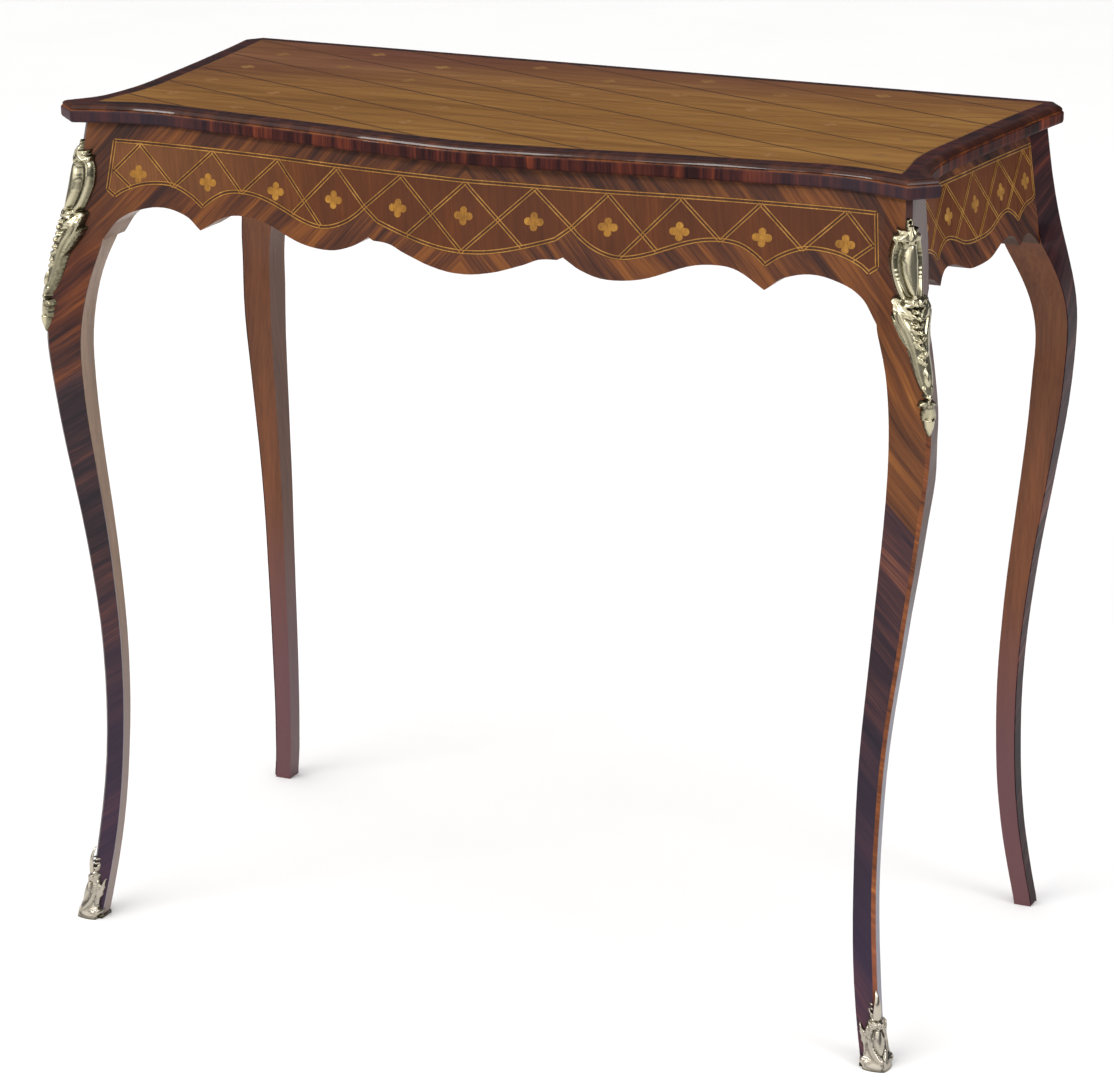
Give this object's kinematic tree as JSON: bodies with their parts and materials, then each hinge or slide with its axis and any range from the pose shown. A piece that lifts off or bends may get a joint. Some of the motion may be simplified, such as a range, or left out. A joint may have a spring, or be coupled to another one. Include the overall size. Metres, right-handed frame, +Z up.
{
  "type": "serpentine side table",
  "caption": "Free-standing serpentine side table with a lattice parquetry top, shaped inlaid apron, slender cabriole legs and gilt bronze knee and foot mounts.",
  "frame": {"origin": "on the floor, under the middle of the table's bounding box", "axes": "+X along the width to the right as seen from the front, +Y towards the straight back, +Z up; the serpentine front faces -Y"},
  "size_m": [0.8432, 0.4148, 0.76],
  "materials": {
    "carcass_wood": "sawn and planed, oiled",
    "top_field": "french polished",
    "dark_line": "french polished",
    "pale_inlay": "french polished",
    "crossband": "french polished",
    "edge_moulding": "french polished",
    "leg_wood": "polished",
    "leg_veneer": "french polished",
    "arris_strip": "french polished",
    "panel_veneer": "french polished",
    "border_veneer": "french polished",
    "stringing": "french polished",
    "gilt_bronze": "cast, chased and gilt",
    "screw_steel": "turned"
  },
  "bodies": {
    "root": {"back_rail": "carcass_wood", "chute_front_left": "gilt_bronze", "chute_front_right": "gilt_bronze", "chute_pins": "gilt_bronze", "corner_block_back_left": "carcass_wood", "corner_block_back_right": "carcass_wood", "corner_block_front_left": "carcass_wood", "corner_block_front_right": "carcass_wood", "front_border_veneer": "border_veneer", "front_panel_veneer": "panel_veneer", "front_quatrefoils": "pale_inlay", "front_rail": "carcass_wood", "front_stringing": "stringing", "left_border_veneer": "border_veneer", "left_panel_veneer": "panel_veneer", "left_quatrefoils": "pale_inlay", "left_rail": "carcass_wood", "left_stringing": "stringing", "leg_arris_strips": "arris_strip", "leg_back_left": "leg_wood", "leg_back_right": "leg_wood", "leg_front_left": "leg_wood", "leg_front_right": "leg_wood", "leg_veneer_back_left": "leg_veneer", "leg_veneer_back_right": "leg_veneer", "leg_veneer_front_left": "leg_veneer", "leg_veneer_front_right": "leg_veneer", "rail_block_back": "carcass_wood", "rail_block_front": "carcass_wood", "right_border_veneer": "border_veneer", "right_panel_veneer": "panel_veneer", "right_quatrefoils": "pale_inlay", "right_rail": "carcass_wood", "right_stringing": "stringing", "sabot_front_left": "gilt_bronze", "sabot_front_right": "gilt_bronze", "sabot_pins": "gilt_bronze", "tenon_pegs": "carcass_wood", "top_board": "carcass_wood", "top_crossband_back": "crossband", "top_crossband_front": "crossband", "top_crossband_left": "crossband", "top_crossband_right": "crossband", "top_edge_back": "edge_moulding", "top_edge_corner_pieces": "edge_moulding", "top_edge_front": "edge_moulding", "top_edge_left": "edge_moulding", "top_edge_right": "edge_moulding", "top_field_parquetry": "top_field", "top_fixing_screws": "screw_steel", "top_lattice_stringing": "dark_line", "top_light_line": "pale_inlay", "top_quatrefoil_inlays": "pale_inlay"}
  },
  "joints": []
}
